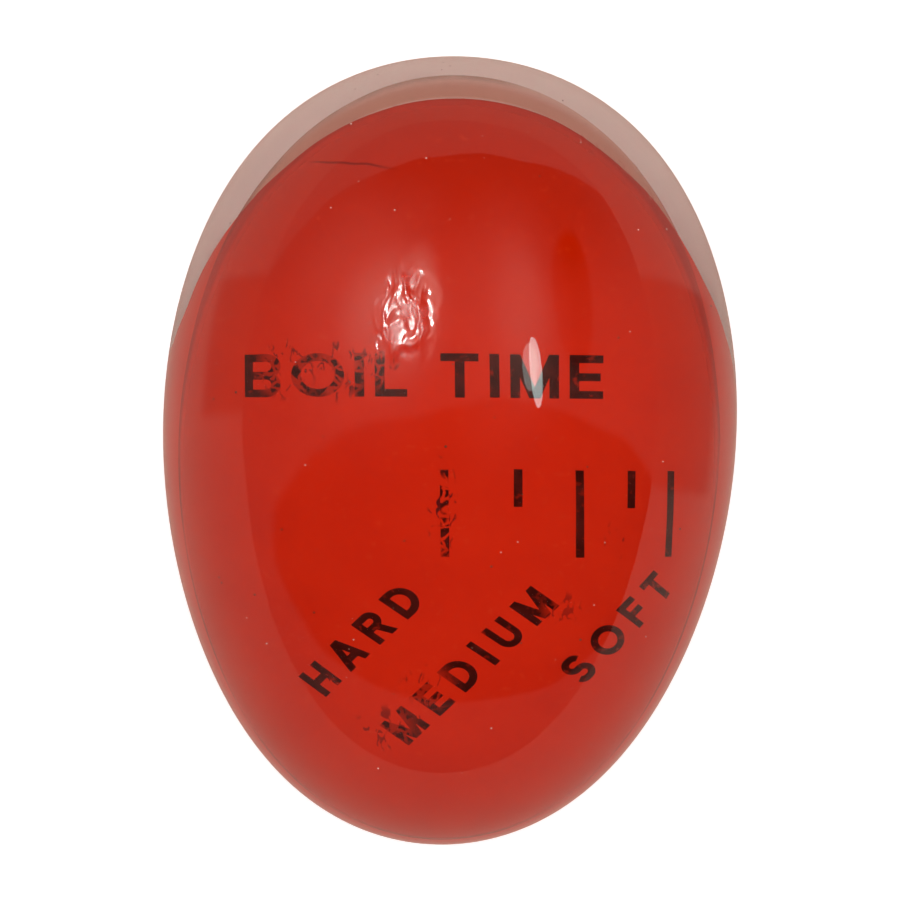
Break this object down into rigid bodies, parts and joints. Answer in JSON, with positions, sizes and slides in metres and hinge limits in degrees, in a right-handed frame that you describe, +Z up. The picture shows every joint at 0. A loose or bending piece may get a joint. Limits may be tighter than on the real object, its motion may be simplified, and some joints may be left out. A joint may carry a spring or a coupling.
{
  "type": "egg timer",
  "caption": "Egg-shaped kitchen timer of clear resin with a flat base and a red heat-sensitive core that carries a printed scale.",
  "frame": {"origin": "middle of the box's footprint, on the flat base", "axes": "+Z up from the flat base through the dome, +Y along the egg's long axis to the blunt end, so the legend reads upright with +X to its right"},
  "size_m": [0.04, 0.055, 0.032],
  "materials": {
    "clear_resin": "clear cast resin, polished, very slightly warm",
    "clear_film": "clear carrier film for the print, slightly creased",
    "red_resin": "opaque red heat-sensitive resin",
    "ink": "black printing ink, thin and worn in places"
  },
  "bodies": {
    "root": {"clear_dome": "clear_resin", "clear_base": "clear_resin", "colour_core": "red_resin", "print_film": "clear_film", "title_print": "ink", "hard_label": "ink", "medium_label": "ink", "soft_label": "ink", "hard_mark": "ink", "hard_medium_mark": "ink", "medium_mark": "ink", "medium_soft_mark": "ink", "soft_mark": "ink"}
  },
  "joints": []
}
